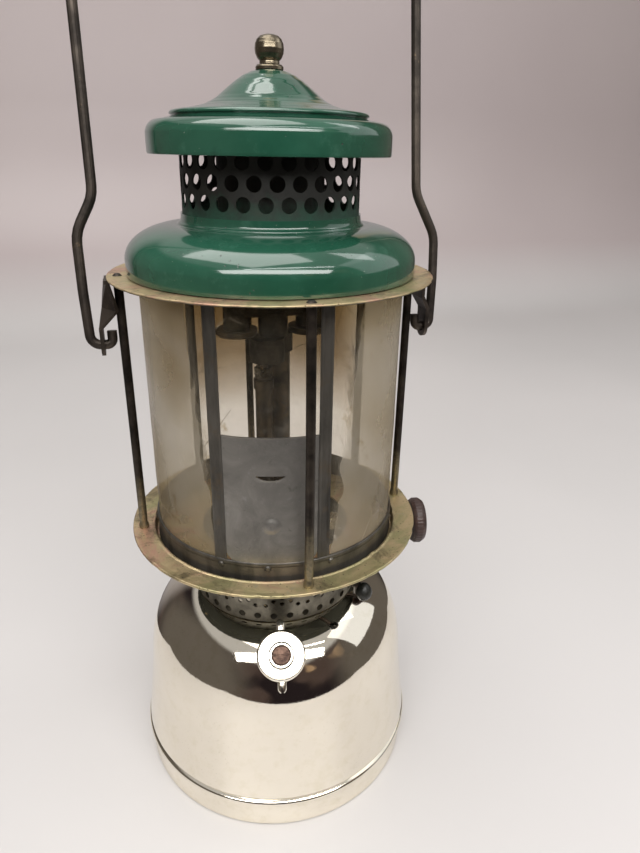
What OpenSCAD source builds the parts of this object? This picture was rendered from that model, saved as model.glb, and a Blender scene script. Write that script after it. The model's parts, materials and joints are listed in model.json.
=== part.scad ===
// Two-burner pressure lantern with a mica globe, an enamelled ventilator and a built-in pump.
// Millimetres, +Z up. Origin at the centre of the fount's base. The bail hinges about X.
// Angles round the lantern run from the front, -Y, towards the right, +X.

/* [Fount] */
// Outer radius of the fount at its foot
foot_r = 64.3; // [63:0.1:65]
// Outer radius of the bead that joins base band and fount
bead_r = 65.6; // [65:0.1:67]
// Height of the widest point of the bead
bead_z = 13.9; // [12:0.1:15]
// Height at which the upright wall turns into the shoulder
shoulder_z = 56; // [54:0.5:58]
// Outer radius of the fount where the shoulder starts
shoulder_r = 60.3; // [60:0.1:61]
// Radius of the flat top of the fount
top_r = 32.3; // [31:0.1:33]
// Height of the fount
fount_h = 90.7; // [90:0.1:91]
// Thickness of the fount's sheet
fount_wall = 0.9; // [0.7:0.1:1.1]

/* [Filler and pump] */
// Angle of the filler cap round the fount
filler_az = -10.5; // [-20:0.5:0]
// Radius of the filler cap's disc
cap_disc_r = 9.9; // [9:0.1:11]
// Reach of the filler cap's two wings from its axis
cap_wing_reach = 13.9; // [12:0.1:15]
// Angle of the pump round the fount
pump_az = 165; // [150:1:180]
// Length of the pump barrel inside the fount
pump_len = 50; // [45:1:50]
// Travel of the pump plunger
pump_travel = 34; // [20:1:36]

/* [Frame] */
// Outer radius of the lower frame plate
lower_plate_r = 63.2; // [62.5:0.1:63.3]
// Height of the top of the lower frame plate
lower_plate_z = 124.3; // [124:0.1:125]
// Outer radius of the upper frame plate
upper_plate_r = 62.5; // [62:0.1:63]
// Height of the top of the upper frame plate
upper_plate_z = 232.5; // [232:0.1:233]
// Radius of the frame rods
rod_r = 1.75; // [1.5:0.05:1.8]
// Distance of the frame rods from the lantern's axis
rod_ring_r = 58.5; // [58:0.1:59]
// Outer radius of the perforated air screen
screen_r = 37.6; // [37:0.1:38]

/* [Globe] */
// Outer radius of the mica globe
globe_r = 51.6; // [51:0.1:52]
// Lower edge of the globe
globe_z0 = 119.5; // [119.5:0.1:120]
// Upper edge of the globe
globe_z1 = 235.5; // [234:0.1:236]

/* [Ventilator] */
// Outer radius of the ventilator hood
hood_r = 55.3; // [54.5:0.1:55.8]
// Radius of the perforated draft collar
collar_r = 33.2; // [32.5:0.1:34]
// Draft holes in one row of the collar
collar_holes = 27; // [24:1:28]
// Radius of one draft hole
draft_hole_r = 2.6; // [2:0.05:2.8]
// Outer radius of the ventilator cap
vent_cap_r = 44.3; // [42:0.1:45]

/* [Controls] */
// Angle of the valve wheel round the lantern
valve_az = 80; // [78:1:84]
// Height of the valve stem
valve_z = 115; // [114.5:0.1:115.2]
// Radius of the valve wheel
wheel_r = 10.6; // [9:0.1:11]
// Height of the tip cleaner's lever
lever_z = 107; // [106:0.5:108]
// Direction of the tip cleaner's lever
lever_az = 41.6; // [38:0.2:44]

/* [Bail] */
// Radius of the bail wire
wire_r = 1.85; // [1.6:0.05:1.9]
// Height of the bail's hinge axis
hinge_z = 206.5; // [205:0.5:209]
// Lean of the bail at rest, away from the front
bail_lean = 7.8; // [0:0.1:12]
// Radius of the bail's two upper corners
bail_corner_r = 45; // [30:1:55]

/* [Hidden] */
$fn = 64;
running_gap = 0.1;
sheet = 0.9;
steps = 12;
fount_in = foot_r - fount_wall;

// A boss on the shoulder points 45 degrees outward and upward from this place.
boss_r = top_r + (shoulder_r - top_r) * cos(51);
boss_z = shoulder_z + (fount_h - shoulder_z) * sin(51);
boss_tilt = 45;

// Filler
neck_r = 7;
neck_bore_r = 5.2;
neck_top = 7;
cap_top = 12.4;
screw_r = 2;

// Pump
barrel_r = 7.5;
barrel_bore_r = 6.9;
plunger_r = 1.7;
pump_cap_r = 9.5;
knob_r = 8.5;

// Valve and generator
gen_x = -5.5;
gen_y = -6;
gen_r = 3.5;
body_r = 10;
body_top = 119.5;
needle_r = 0.55;
tube_x = 3;
tube_y = 4;
tube_r = 4.8;
stem_r = 2;
wheel_in = 63.7;
wheel_t = 6;
lever_r = 1.5;
lever_len = 49;

// Burner
burner_x = 14.9;
cap_face_z = 207.3;
stud_r = 1.6;
stud_top = 307.5;

// Frame
bridge_t = 1.2;
recess_r = 53.6;
spigot_r = 1.3;
ear_in = 65.6;
ear_out = 67;
ear_half = 5.5;
eye_r = 4.2;

// Globe strips, measured round the lantern from the front
strip_az = [-36, 8.5, 117, -145.5];
strip_half = 2.7;
band_low_top = 131;
band_high_foot = 229.6;
panel_top = 183.3;

// Ventilator
vent_wall = 0.8;
hood_z = 232.6;
hood_arc_z = 238;
hood_arc_r = 35.5;
hood_top = 250.3;
neck_top_z = 254.2;
vent_cap_z = 274;
flue_r = 20;

// The bail's corners: distance across, distance up from the hinge, and bend radius.
bail_path = [[-62.6, 5.2, 0], [-62.6, 0, 2.2], [-70.6, 0, 4], [-71.3, 20, 12], [-71.35, 41, 16],
             [-64.2, 53.7, 14], [-63.5, 171, bail_corner_r], [59.9, 171, bail_corner_r],
             [62.3, 54.5, 14], [70.8, 37.5, 14], [70.6, 20, 12], [69.4, 0, 3], [62.6, 0, 2.2], [62.6, 5.2, 0]];

wire_sides = 14;
wire_step = 11;

// ---- Shared helpers ----

// Turns what is drawn at the front to an angle round the lantern.
module around(az) {
  rotate([0, 0, az]) children();
}

// Places children on the shoulder, with their +Z pointing outward and up.
module on_shoulder(az) {
  around(az) translate([0, -boss_r, boss_z]) rotate([boss_tilt, 0, 0]) children();
}

// Turns an upright shape to point outward at an angle round the lantern, at a height.
module radial(az, z) {
  around(az) translate([0, 0, z]) rotate([90, 0, 0]) children();
}

// Places children on the lever's axis, which starts at the needle.
module on_lever() {
  translate([gen_x, gen_y, lever_z]) rotate([0, 0, lever_az]) rotate([90, 0, 0]) children();
}

module tube(outer, inner, z0, z1) {
  translate([0, 0, z0]) difference() {
    cylinder(r = outer, h = z1 - z0);
    translate([0, 0, -1]) cylinder(r = inner, h = z1 - z0 + 2);
  }
}

// A curved wall between two radii, centred on an angle round the lantern.
module arc_wall(inner, outer, az, half, z0, z1) {
  rotate([0, 0, az - 90 - half])
    translate([0, 0, z0])
      rotate_extrude(angle = 2 * half)
        translate([inner, 0]) square([outer - inner, z1 - z0]);
}

// Points of a quarter ellipse from its outer end up to its top.
function quarter(cr, cz, a, b) =
  [for (i = [0:steps]) let (t = 90 * i / steps) [cr + a * cos(t), cz + b * sin(t)]];

// ---- Fount ----

function fount_line(inset) = concat(
  [[foot_r + 0.5 - inset, bead_z + 3.3]],
  quarter(top_r, shoulder_z, shoulder_r - top_r - inset, fount_h - shoulder_z - inset));

module base_band() {
  color("gainsboro") rotate_extrude() polygon([
    [fount_in, 0], [foot_r, 0], [foot_r + 0.3, bead_z - 3], [bead_r - 0.5, bead_z - 1.6],
    [bead_r, bead_z], [bead_r - 0.3, bead_z + 1.5], [foot_r + 0.6, bead_z + 3], [fount_in, bead_z + 3]]);
}

module fount_bottom() {
  color("silver") rotate_extrude() polygon([
    [0, 4], [50, 2.4], [fount_in - 1, 2.4], [fount_in - 1, 0.8], [fount_in, 0.8], [fount_in, 3.3],
    [50, 3.3], [0, 4.9]]);
}

module fount_shell() {
  outer = concat([[fount_in, 3.3], [fount_in, bead_z + 3]], fount_line(0), [[0, fount_h]]);
  inner = concat([[0, 3.3], [fount_in - fount_wall, 3.3], [fount_in - fount_wall, bead_z + 3.4]],
                 fount_line(fount_wall), [[0, fount_h - fount_wall]]);
  color("gainsboro") difference() {
    rotate_extrude() difference() {
      polygon(concat([[0, 3.3]], outer));
      polygon(inner);
    }
    translate([0, 0, fount_h - 5]) cylinder(r = 6, h = 10);
    on_shoulder(filler_az) translate([0, 0, -12]) cylinder(r = neck_r, h = 24);
    on_shoulder(pump_az) translate([0, 0, -12]) cylinder(r = barrel_r, h = 24);
  }
}

module fount_collar() {
  color("darkkhaki") difference() {
    union() {
      translate([0, 0, fount_h]) cylinder(r = 15, h = 1);
      translate([0, 0, fount_h + 1]) cylinder(r = 12, h = 3.3, $fn = 6);
    }
    translate([0, 0, fount_h - 1]) cylinder(r = 6, h = 8);
  }
}

module pickup_tube() {
  color("darkkhaki") difference() {
    tube(3, 2.2, 7, 86);
    translate([-5, -0.8, 6]) cube([10, 1.6, 4]);
  }
}

// ---- Filler ----

module filler_neck() {
  color("darkkhaki") on_shoulder(filler_az) difference() {
    translate([0, 0, -4]) cylinder(r = neck_r, h = neck_top + 4);
    translate([0, 0, -5]) cylinder(r = neck_bore_r, h = 20);
  }
}

module filler_gasket() {
  color("saddlebrown") on_shoulder(filler_az) tube(neck_r - 0.1, screw_r + 1, neck_top + 0.1, 9.3);
}

module filler_cap() {
  color("white") on_shoulder(filler_az) difference() {
    union() {
      translate([0, 0, 2.4]) cylinder(r = neck_r + 1.5, h = 7.4);
      rotate_extrude() polygon([[0, 9.3], [cap_disc_r - 0.6, 9.3], [cap_disc_r, 9.8],
                                [cap_disc_r, 10.8], [cap_disc_r - 1.4, 11.9], [5.5, cap_top],
                                [0, cap_top]]);
      translate([-1.8, -cap_wing_reach, 8.6]) cube([3.6, 2 * cap_wing_reach, 2.2]);
    }
    translate([0, 0, 1]) cylinder(r = neck_r + running_gap, h = 8.3);
    cylinder(r = screw_r + 0.05, h = 20);
  }
}

module air_screw() {
  color("saddlebrown") on_shoulder(filler_az) difference() {
    union() {
      translate([0, 0, 5.4]) cylinder(r = screw_r, h = 8);
      translate([0, 0, cap_top + 0.1]) cylinder(r = 4, h = 1.2);
      translate([0, 0, cap_top + 1.3]) cylinder(r1 = 4, r2 = 3.4, h = 0.5);
    }
    translate([-5, -0.5, cap_top + 0.8]) cube([10, 1, 3]);
  }
}

// ---- Pump ----

module pump_barrel() {
  color("darkkhaki") on_shoulder(pump_az) tube(barrel_r, barrel_bore_r, -pump_len, 1);
}

module pump_cap() {
  notches = 24;
  color("gainsboro") on_shoulder(pump_az) difference() {
    union() {
      translate([0, 0, 1]) cylinder(r = pump_cap_r, h = 6);
      translate([0, 0, 7]) cylinder(r1 = pump_cap_r - 0.4, r2 = 6, h = 1);
    }
    cylinder(r = plunger_r + running_gap / 2, h = 20);
    for (i = [0:notches - 1])
      rotate([0, 0, i * 360 / notches]) translate([pump_cap_r + 0.2, 0, 1.8]) cylinder(r = 0.6, h = 4.4);
  }
}

module check_valve() {
  color("darkkhaki") on_shoulder(pump_az) difference() {
    union() {
      translate([0, 0, -pump_len - 3]) cylinder(r = barrel_r, h = 3);
      translate([0, 0, -pump_len - 7]) cylinder(r = 3.4, h = 4, $fn = 6);
    }
    translate([0, 0, -pump_len - 8]) cylinder(r = 0.8, h = 12);
  }
}

module plunger_rod() {
  color("darkkhaki") on_shoulder(pump_az) union() {
    translate([0, 0, -44]) cylinder(r = plunger_r, h = 54);
    translate([0, 0, -45.5]) cylinder(r = 4, h = 1.5, $fn = 6);
    translate([0, 0, -40]) cylinder(r = 5.5, h = 1);
  }
}

module pump_leather() {
  color("sienna") on_shoulder(pump_az) difference() {
    translate([0, 0, -48]) cylinder(r = barrel_bore_r - running_gap, h = 8);
    translate([0, 0, -49]) cylinder(r = 5.4, h = 7);
    translate([0, 0, -49]) cylinder(r = plunger_r, h = 20);
  }
}

module pump_knob() {
  color("gainsboro") on_shoulder(pump_az) rotate_extrude() polygon([
    [0, 10], [plunger_r, 10], [plunger_r, 8.4], [4, 8.4], [5, 10.2], [knob_r - 0.5, 10.6],
    [knob_r, 11.2], [knob_r, 12.6], [knob_r - 1.2, 13.6], [0, 14.2]]);
}

// ---- Valve, tip cleaner and generator ----

module valve_body() {
  color("darkkhaki") difference() {
    union() {
      translate([0, 0, 86]) cylinder(r = 6, h = 12);
      translate([0, 0, fount_h + 4.3]) cylinder(r = body_r, h = body_top - fount_h - 4.3);
      translate([gen_x, gen_y, 102]) cylinder(r = 5.2, h = body_top - 102);
      radial(valve_az, valve_z) cylinder(r = 4.2, h = 22);
      on_lever() cylinder(r = 3.4, h = 16);
    }
    translate([0, 0, 85]) cylinder(r = 2.2, h = 18);
    translate([gen_x, gen_y, 100]) cylinder(r = 1.6, h = 30);
    radial(valve_az, valve_z) translate([0, 0, 11]) cylinder(r = stem_r + 0.05, h = 20);
    on_lever() cylinder(r = lever_r + 0.05, h = 30);
  }
}

module packing_nut() {
  color("darkkhaki") radial(valve_az, valve_z) difference() {
    translate([0, 0, 22]) cylinder(r = 5.2, h = 7, $fn = 6);
    cylinder(r = stem_r + 0.05, h = 40);
  }
}

module valve_stem() {
  color("dimgray") radial(valve_az, valve_z) union() {
    translate([0, 0, 13]) cylinder(r = stem_r, h = wheel_in + 4 - 13);
    translate([0, 0, 11.5]) cylinder(r1 = 0.5, r2 = 1.8, h = 1.5);
    translate([0, 0, wheel_in - 1.2]) cylinder(r = 3.2, h = 1.2);
  }
}

module valve_wheel() {
  color("saddlebrown") radial(valve_az, valve_z)
    translate([0, 0, wheel_in]) rotate_extrude() polygon([
      [stem_r, 0], [wheel_r - 1, 0], [wheel_r - 0.2, 0.8], [wheel_r, 1.8], [wheel_r, wheel_t - 2.2],
      [wheel_r - 0.4, wheel_t - 0.9], [wheel_r - 1.6, wheel_t], [6.5, wheel_t],
      [5.5, wheel_t - 1.4], [stem_r, wheel_t - 1.4]]);
}

module wheel_screw() {
  color("dimgray") radial(valve_az, valve_z) difference() {
    union() {
      translate([0, 0, wheel_in + 4]) cylinder(r = stem_r, h = 0.8);
      translate([0, 0, wheel_in + wheel_t - 1.4]) cylinder(r1 = 4, r2 = 3, h = 1.6);
    }
    translate([-5, -0.4, wheel_in + wheel_t - 0.6]) cube([10, 0.8, 3]);
  }
}

module lever_rod() {
  color("dimgray") on_lever() union() {
    translate([0, 0, 2.4]) cylinder(r = lever_r, h = lever_len - 2.4);
    translate([0.75, 0, 1.4]) cylinder(r = 0.6, h = 1.2);
  }
}

// The lever's paddle is a flattened drop, one blend that only its rod enters.
module lever_knob() {
  color("black") on_lever() difference() {
    hull() {
      translate([0, 0, lever_len]) rotate([90, 0, 0]) cylinder(r = 2.6, h = 4.6, center = true, $fn = 32);
      translate([0, -5, lever_len + 2.6]) rotate([90, 0, 0]) cylinder(r = 3.4, h = 2, center = true, $fn = 32);
      translate([0, -3, lever_len + 1.6]) sphere(r = 3.6, $fn = 32);
    }
    translate([0, 0, lever_len - 10]) cylinder(r = lever_r, h = 10);
  }
}

module cleaning_needle() {
  color("silver") translate([gen_x, gen_y, 0]) union() {
    translate([0, 0, lever_z + 2.6]) cylinder(r = needle_r, h = 90);
    translate([0, 0, lever_z + 2.2]) cylinder(r = 1.5, h = 0.8);
  }
}

module generator_tube() {
  color("dimgray") translate([gen_x, gen_y, 0]) union() {
    tube(gen_r, 1.6, body_top, 192);
    tube(gen_r + 0.6, gen_r, 186, 190);
  }
}

module jam_nut() {
  color("darkkhaki") translate([gen_x, gen_y, body_top + bridge_t]) difference() {
    cylinder(r = 6.2, h = 6, $fn = 6);
    translate([0, 0, -1]) cylinder(r = gen_r, h = 8);
  }
}

module gas_tip() {
  color("darkkhaki") translate([gen_x, gen_y, 192]) difference() {
    union() {
      cylinder(r = gen_r + 0.3, h = 3, $fn = 6);
      translate([0, 0, 3]) cylinder(r1 = 1.9, r2 = 1.2, h = 5);
    }
    translate([0, 0, -1]) cylinder(r = 1, h = 6);
    cylinder(r = needle_r + 0.1, h = 10);
  }
}

// ---- Burner ----

module air_tube() {
  color("darkkhaki") translate([tube_x, tube_y, 0]) difference() {
    tube(tube_r, tube_r - 0.8, body_top + bridge_t, 203);
    for (i = [0:2])
      rotate([0, 0, 30 + i * 120]) translate([0, -1.5, body_top + 3]) cube([10, 3, 8]);
  }
}

module burner_bridge() {
  bridge_w = 24;
  bridge_reach = 36;
  color("slategray") translate([0, 0, body_top]) difference() {
    around(-10) intersection() {
      translate([-bridge_w / 2, -bridge_reach, 0]) cube([bridge_w, 2 * bridge_reach, bridge_t]);
      cylinder(r = bridge_reach, h = bridge_t);
    }
    translate([gen_x, gen_y, -1]) cylinder(r = gen_r, h = 4);
    translate([tube_x, tube_y, -1]) cylinder(r = tube_r - 0.8, h = 4);
  }
}

// Jet chamber, riser, cross bar and the two burner necks.
module burner_manifold() {
  color("dimgray") difference() {
    union() {
      translate([-3.4, -3.6, 197]) cylinder(r = 7.2, h = 9.7);
      translate([tube_x, tube_y, 199]) cylinder(r = 6, h = 7.7);
      translate([0, 0, 206.5]) cylinder(r = 6, h = 10);
      translate([-burner_x, -4.5, 215]) cube([2 * burner_x, 9, 7]);
      for (s = [-1, 1])
        translate([s * burner_x, 0, cap_face_z + 2.6]) cylinder(r = 5.3, h = 15);
      translate([0, 0, 220]) cylinder(r = 4.5, h = 7);
    }
    translate([-3.4, -3.6, 196]) cylinder(r = 5.9, h = 9.4);
    translate([tube_x, tube_y, 196]) cylinder(r = tube_r, h = 7);
    translate([0, 0, 205]) cylinder(r = 4.6, h = 9);
    translate([0, 0, 222]) cylinder(r = stud_r, h = 6);
    for (s = [-1, 1])
      translate([s * burner_x, 0, cap_face_z]) cylinder(r = 4.2, h = 12);
  }
}

module burner_caps() {
  holes = 6;
  color("lightgray") for (s = [-1, 1])
    translate([s * burner_x, 0, cap_face_z]) difference() {
      union() {
        translate([0, 0, 0.7]) cylinder(r = 8.4, h = 1.9);
        cylinder(r1 = 7.6, r2 = 8.4, h = 0.7);
      }
      for (i = [0:holes - 1])
        rotate([0, 0, i * 360 / holes]) translate([2.6, 0, -1]) cylinder(r = 1, h = 6);
    }
}

module centre_stud() {
  color("dimgray") translate([0, 0, 222]) cylinder(r = stud_r, h = stud_top - 222);
}

// ---- Frame ----

module air_screen() {
  large_row = 34;
  small_row = 13;
  // Garland of small holes: part of a period round the screen, height above the fount.
  garland = [[0, 12], [0, 9.2], [0.2, 10.4], [0.38, 8.3], [0.62, 8.3], [0.8, 10.4]];
  color("silver") difference() {
    union() {
      tube(screen_r, screen_r - 0.7, fount_h + 0.1, lower_plate_z - 5.7);
      tube(screen_r, 30, fount_h, fount_h + 0.7);
    }
    for (i = [0:large_row - 1])
      radial(i * 360 / large_row - 3.4, fount_h + 2.9) translate([0, 0, screen_r - 3]) cylinder(r = 1.5, h = 6);
    for (i = [0:small_row - 1], hole = garland)
      radial((i + hole[0]) * 360 / small_row - 8.5, fount_h + hole[1])
        translate([0, 0, screen_r - 3]) cylinder(r = 0.95, h = 6);
    radial(valve_az, valve_z) translate([0, 0, 30]) cylinder(r = stem_r + 1.2, h = 12);
    on_lever() translate([0, 0, 20]) cylinder(r = lever_r + 1, h = 20);
  }
}

module lower_plate() {
  floor_z = globe_z0;
  rim = lower_plate_r;
  top = lower_plate_z;
  color("tan") difference() {
    rotate_extrude() polygon([
      [33, floor_z], [33, floor_z - sheet], [recess_r - 0.4, floor_z - sheet], [recess_r + 0.9, top - sheet],
      [rim - 1.4, top - sheet], [rim - 0.8, top - 1.3], [rim, top - 1.3],
      [rim, top - 0.5], [rim - 0.5, top], [recess_r + 0.2, top], [recess_r - 0.8, floor_z]]);
    for (i = [0:3])
      around(90 * i) translate([0, -rod_ring_r, floor_z]) cylinder(r = spigot_r, h = 10);
  }
}

module frame_rods() {
  foot_z = lower_plate_z - sheet;
  color("dimgray") for (i = [0:3])
    around(90 * i) translate([0, -rod_ring_r, 0]) union() {
      translate([0, 0, foot_z - 1.2]) cylinder(r1 = 1.6, r2 = 2.2, h = 1.2);
      translate([0, 0, foot_z]) cylinder(r = spigot_r, h = sheet + 0.2);
      translate([0, 0, lower_plate_z]) cylinder(r = rod_r, h = upper_plate_z - sheet - lower_plate_z);
      translate([0, 0, upper_plate_z - sheet]) cylinder(r = spigot_r, h = sheet);
      translate([0, 0, upper_plate_z]) cylinder(r1 = 2.1, r2 = 1.4, h = 0.6);
    }
}

module upper_plate() {
  color("tan") difference() {
    rotate_extrude() polygon([
      [53, upper_plate_z - sheet], [upper_plate_r - 0.4, upper_plate_z - sheet],
      [upper_plate_r, upper_plate_z - 0.5], [upper_plate_r - 0.2, upper_plate_z], [53, upper_plate_z]]);
    for (i = [0:3])
      around(90 * i) translate([0, -rod_ring_r, upper_plate_z - 5]) cylinder(r = spigot_r, h = 10);
    for (i = [0:3])
      around(90 * i + 33) translate([0, -rod_ring_r, upper_plate_z - 5]) cylinder(r = 1.1, h = 10);
  }
}

module rod_and_wire_room() {
  translate([rod_ring_r, 0, 220]) cylinder(r = rod_r, h = 20);
  translate([50, 0, hinge_z]) rotate([0, 90, 0]) cylinder(r = wire_r + 0.35, h = 30);
}

// The straight ear: a tab under the plate, a jog outward and a round eye.
module ear_right() {
  tab_z = upper_plate_z - sheet;
  color("dimgray") difference() {
    intersection() {
      translate([0, 10, 0]) rotate([90, 0, 0]) linear_extrude(20) polygon([
        [54, tab_z], [63.9, tab_z], [63.9, 220.4], [ear_out, 215], [ear_out, 198], [ear_in, 198],
        [ear_in, 214.6], [62.6, 219.8], [62.6, tab_z - 1.4], [54, tab_z - 1.4]]);
      rotate([90, 0, 90]) linear_extrude(80) union() {
        polygon([[-ear_half, tab_z], [-ear_half, 219], [-eye_r, 213], [-eye_r, hinge_z],
                 [eye_r, hinge_z], [eye_r, 213], [ear_half, 219], [ear_half, tab_z]]);
        translate([0, hinge_z]) circle(r = eye_r);
      }
    }
    rod_and_wire_room();
  }
}

// A thin cross-section of the twisted ear.
module ear_slice(x, z, twist, width) {
  translate([-x, 0, z]) rotate([0, 0, twist]) cube([1.4, width, 0.2], center = true);
}

// The other ear hangs the same way, but is twisted so that its front edge turns inward.
module ear_left() {
  tab_z = upper_plate_z - sheet;
  color("dimgray") difference() {
    union() {
      translate([-63.4, -ear_half, tab_z - 1.4]) cube([9.4, 2 * ear_half, 1.4]);
      hull() {
        ear_slice(62.6, tab_z - 1.3, 6, 11);
        ear_slice(62.3, 220, 30, 10.4);
      }
      hull() {
        ear_slice(62.3, 220, 30, 10.4);
        ear_slice(66.3, 213.4, 0, 2 * eye_r);
      }
      translate([-ear_out, 0, 0]) rotate([90, 0, 90]) linear_extrude(1.4) union() {
        translate([0, hinge_z]) circle(r = eye_r);
        translate([-eye_r, hinge_z]) square([2 * eye_r, 213.5 - hinge_z]);
      }
    }
    rotate([0, 0, 180]) rod_and_wire_room();
  }
}

// ---- Globe ----

module globe_lower_band() {
  color("dimgray") tube(globe_r + 0.8, globe_r, globe_z0, band_low_top);
}

module globe_upper_band() {
  color("dimgray") tube(globe_r + 0.8, globe_r, band_high_foot, globe_z1);
}

module globe_strips() {
  color("dimgray") for (a = strip_az)
    arc_wall(globe_r, globe_r + 0.7, a, strip_half, band_low_top, band_high_foot);
}

// The metal panel stands in for mica beside the lighting hole; its top edge is folded out.
module globe_panel() {
  panel_az = (strip_az[0] + strip_az[1]) / 2;
  panel_half = (strip_az[1] - strip_az[0]) / 2 - strip_half;
  color("silver") union() {
    difference() {
      arc_wall(globe_r, globe_r + 0.5, panel_az, panel_half, band_low_top, panel_top);
      arc_wall(globe_r - 1, globe_r + 2, panel_az, 5.4, 167.2, 168.6);
    }
    arc_wall(globe_r, globe_r + 1.4, panel_az, panel_half, panel_top, panel_top + 0.6);
  }
}

module globe_mica() {
  color("wheat", 0.4) tube(globe_r, globe_r - 0.35, globe_z0, globe_z1);
}

module globe_rivets() {
  color("silver") for (a = [-36, -15.5, 12.2, 117, -145.5, 60, 170, -90])
    radial(a, 128.6) translate([0, 0, globe_r + 0.8]) cylinder(r1 = 1.3, r2 = 0.8, h = 0.5);
}

// ---- Ventilator ----

// The hood's outside from its lower edge up over the shoulder and the fillet under the collar.
hood_line = concat(
  [[hood_r, hood_z]],
  quarter(hood_arc_r, hood_arc_z, hood_r - hood_arc_r, hood_top - hood_arc_z),
  [[34.9, 250.9], [34.1, 251.9], [33.8, neck_top_z]]);

module vent_hood() {
  color("seagreen") rotate_extrude() difference() {
    polygon(concat([[collar_r, hood_z]], hood_line, [[collar_r, neck_top_z]]));
    polygon(concat([[collar_r - 1, hood_z - 1], [hood_r - vent_wall, hood_z - 1]],
                   quarter(hood_arc_r, hood_arc_z, hood_r - hood_arc_r - vent_wall,
                           hood_top - hood_arc_z - vent_wall),
                   [[collar_r - 1, hood_top - vent_wall]]));
  }
}

module draft_collar() {
  first_row_z = 259;
  row_pitch = 6.6;
  first_az = -1.7;
  color("black") difference() {
    tube(collar_r, collar_r - 0.7, hood_top - vent_wall, 285);
    for (row = [0:2], i = [0:collar_holes - 1])
      radial(first_az + (i + row / 2) * 360 / collar_holes, first_row_z + row * row_pitch)
        translate([0, 0, collar_r - 3]) cylinder(r = draft_hole_r, h = 6);
  }
}

module inner_flue() {
  color("darkolivegreen") tube(flue_r, flue_r - 0.7, 240, 286);
}

module flue_tabs() {
  color("darkolivegreen") for (i = [0:2])
    around(60 + 120 * i) intersection() {
      translate([-2.5, -40, 253]) cube([5, 40, 0.8]);
      tube(collar_r - 0.7, flue_r, 252, 255);
    }
}

// The cap's outside from the axis down to its brim: a flared dome, a ridge bead and a round brim.
cap_line = concat(
  [[0, 301.5], [4.6, 301.5], [6.7, 300.9], [9.5, 299.7], [12, 298.1], [14.4, 296.3], [16.5, 294.6],
   [18.5, 293], [20.5, 291.7], [23, 290.5], [26, 289.6], [30, 288.8], [34.5, 288.2],
   [35.5, 287.7], [35.7, 287], [35, 286.4], [36.8, 285.8]],
  [for (i = [0:6]) let (t = 90 - 15 * i)
    [39.6 + (vent_cap_r - 39.6) * cos(t), 280.4 + 4.8 * sin(t)]],
  [[vent_cap_r, vent_cap_z]]);

module vent_cap() {
  open_foot = [[vent_cap_r, vent_cap_z - 4], [-4, vent_cap_z - 4], [-4, 301.5]];
  color("seagreen") difference() {
    rotate_extrude() difference() {
      polygon(concat(cap_line, [[0, vent_cap_z]]));
      offset(delta = -vent_wall) polygon(concat(cap_line, open_foot));
    }
    translate([0, 0, 280]) cylinder(r = stud_r + running_gap, h = 30);
  }
}

module ball_nut() {
  color("darkkhaki") difference() {
    rotate_extrude() polygon([
      [0, 301.6], [4.9, 301.6], [4.9, 302.5], [4.4, 303.1], [3.6, 303.4], [3.5, 304.3], [4.3, 305.2],
      [4.9, 306.5], [5.1, 308], [4.9, 309.6], [4.3, 310.9], [3.3, 311.8], [1.8, 312.3], [0, 312.4]]);
    translate([0, 0, 300]) cylinder(r = stud_r + 0.05, h = 8);
  }
}

// ---- Bail ----

// Points of a bent path hold [across, up, bend radius]; the bends are arcs tangent to both sides.
function across_up(p) = [p[0], p[1]];
function heading(path, i) =
  let (run = across_up(path[i + 1]) - across_up(path[i])) run / norm(run);
function turn(path, i) =
  let (u = heading(path, i - 1), v = heading(path, i)) atan2(u[0] * v[1] - u[1] * v[0], u * v);
function trim(path, i) =
  (i == 0 || i == len(path) - 1) ? 0 : path[i][2] * tan(abs(turn(path, i)) / 2);

// Stations along one bend, as [across, up, heading angle].
function bend_stations(path, i) =
  let (angle = turn(path, i), side = angle > 0 ? 1 : -1, dir = heading(path, i - 1),
       start = across_up(path[i]) - dir * trim(path, i),
       centre = start + side * path[i][2] * [-dir[1], dir[0]],
       first = atan2(dir[1], dir[0]), count = ceil(abs(angle) / wire_step))
  [for (k = [0:count]) let (h = first + angle * k / count)
    [centre[0] + side * path[i][2] * sin(h), centre[1] - side * path[i][2] * cos(h), h]];

function end_station(path, i, j) =
  let (dir = heading(path, j)) [path[i][0], path[i][1], atan2(dir[1], dir[0])];

function stations(path) = let (last = len(path) - 1) concat(
  [end_station(path, 0, 0)],
  [for (i = [1:last - 1]) each bend_stations(path, i)],
  [end_station(path, last, last - 1)]);

// A round wire swept through a flat bent path, drawn in the XY plane.
module swept_wire(path, radius, sides) {
  line = stations(path);
  rings = len(line);
  points = [for (s = line, k = [0:sides - 1]) let (t = 360 * k / sides)
    [s[0] - radius * cos(t) * sin(s[2]), s[1] + radius * cos(t) * cos(s[2]), radius * sin(t)]];
  walls = [for (i = [0:rings - 2], k = [0:sides - 1])
    let (a = i * sides + k, b = i * sides + (k + 1) % sides)
    each [[a, b + sides, b], [a, a + sides, b + sides]]];
  ends = [[for (k = [0:sides - 1]) k], [for (k = [sides - 1:-1:0]) (rings - 1) * sides + k]];
  polyhedron(points, concat(walls, ends), convexity = 6);
}

module bail() {
  color("dimgray") translate([0, 0, hinge_z]) rotate([-bail_lean, 0, 0]) rotate([90, 0, 0])
    swept_wire(bail_path, wire_r, wire_sides);
}

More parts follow.
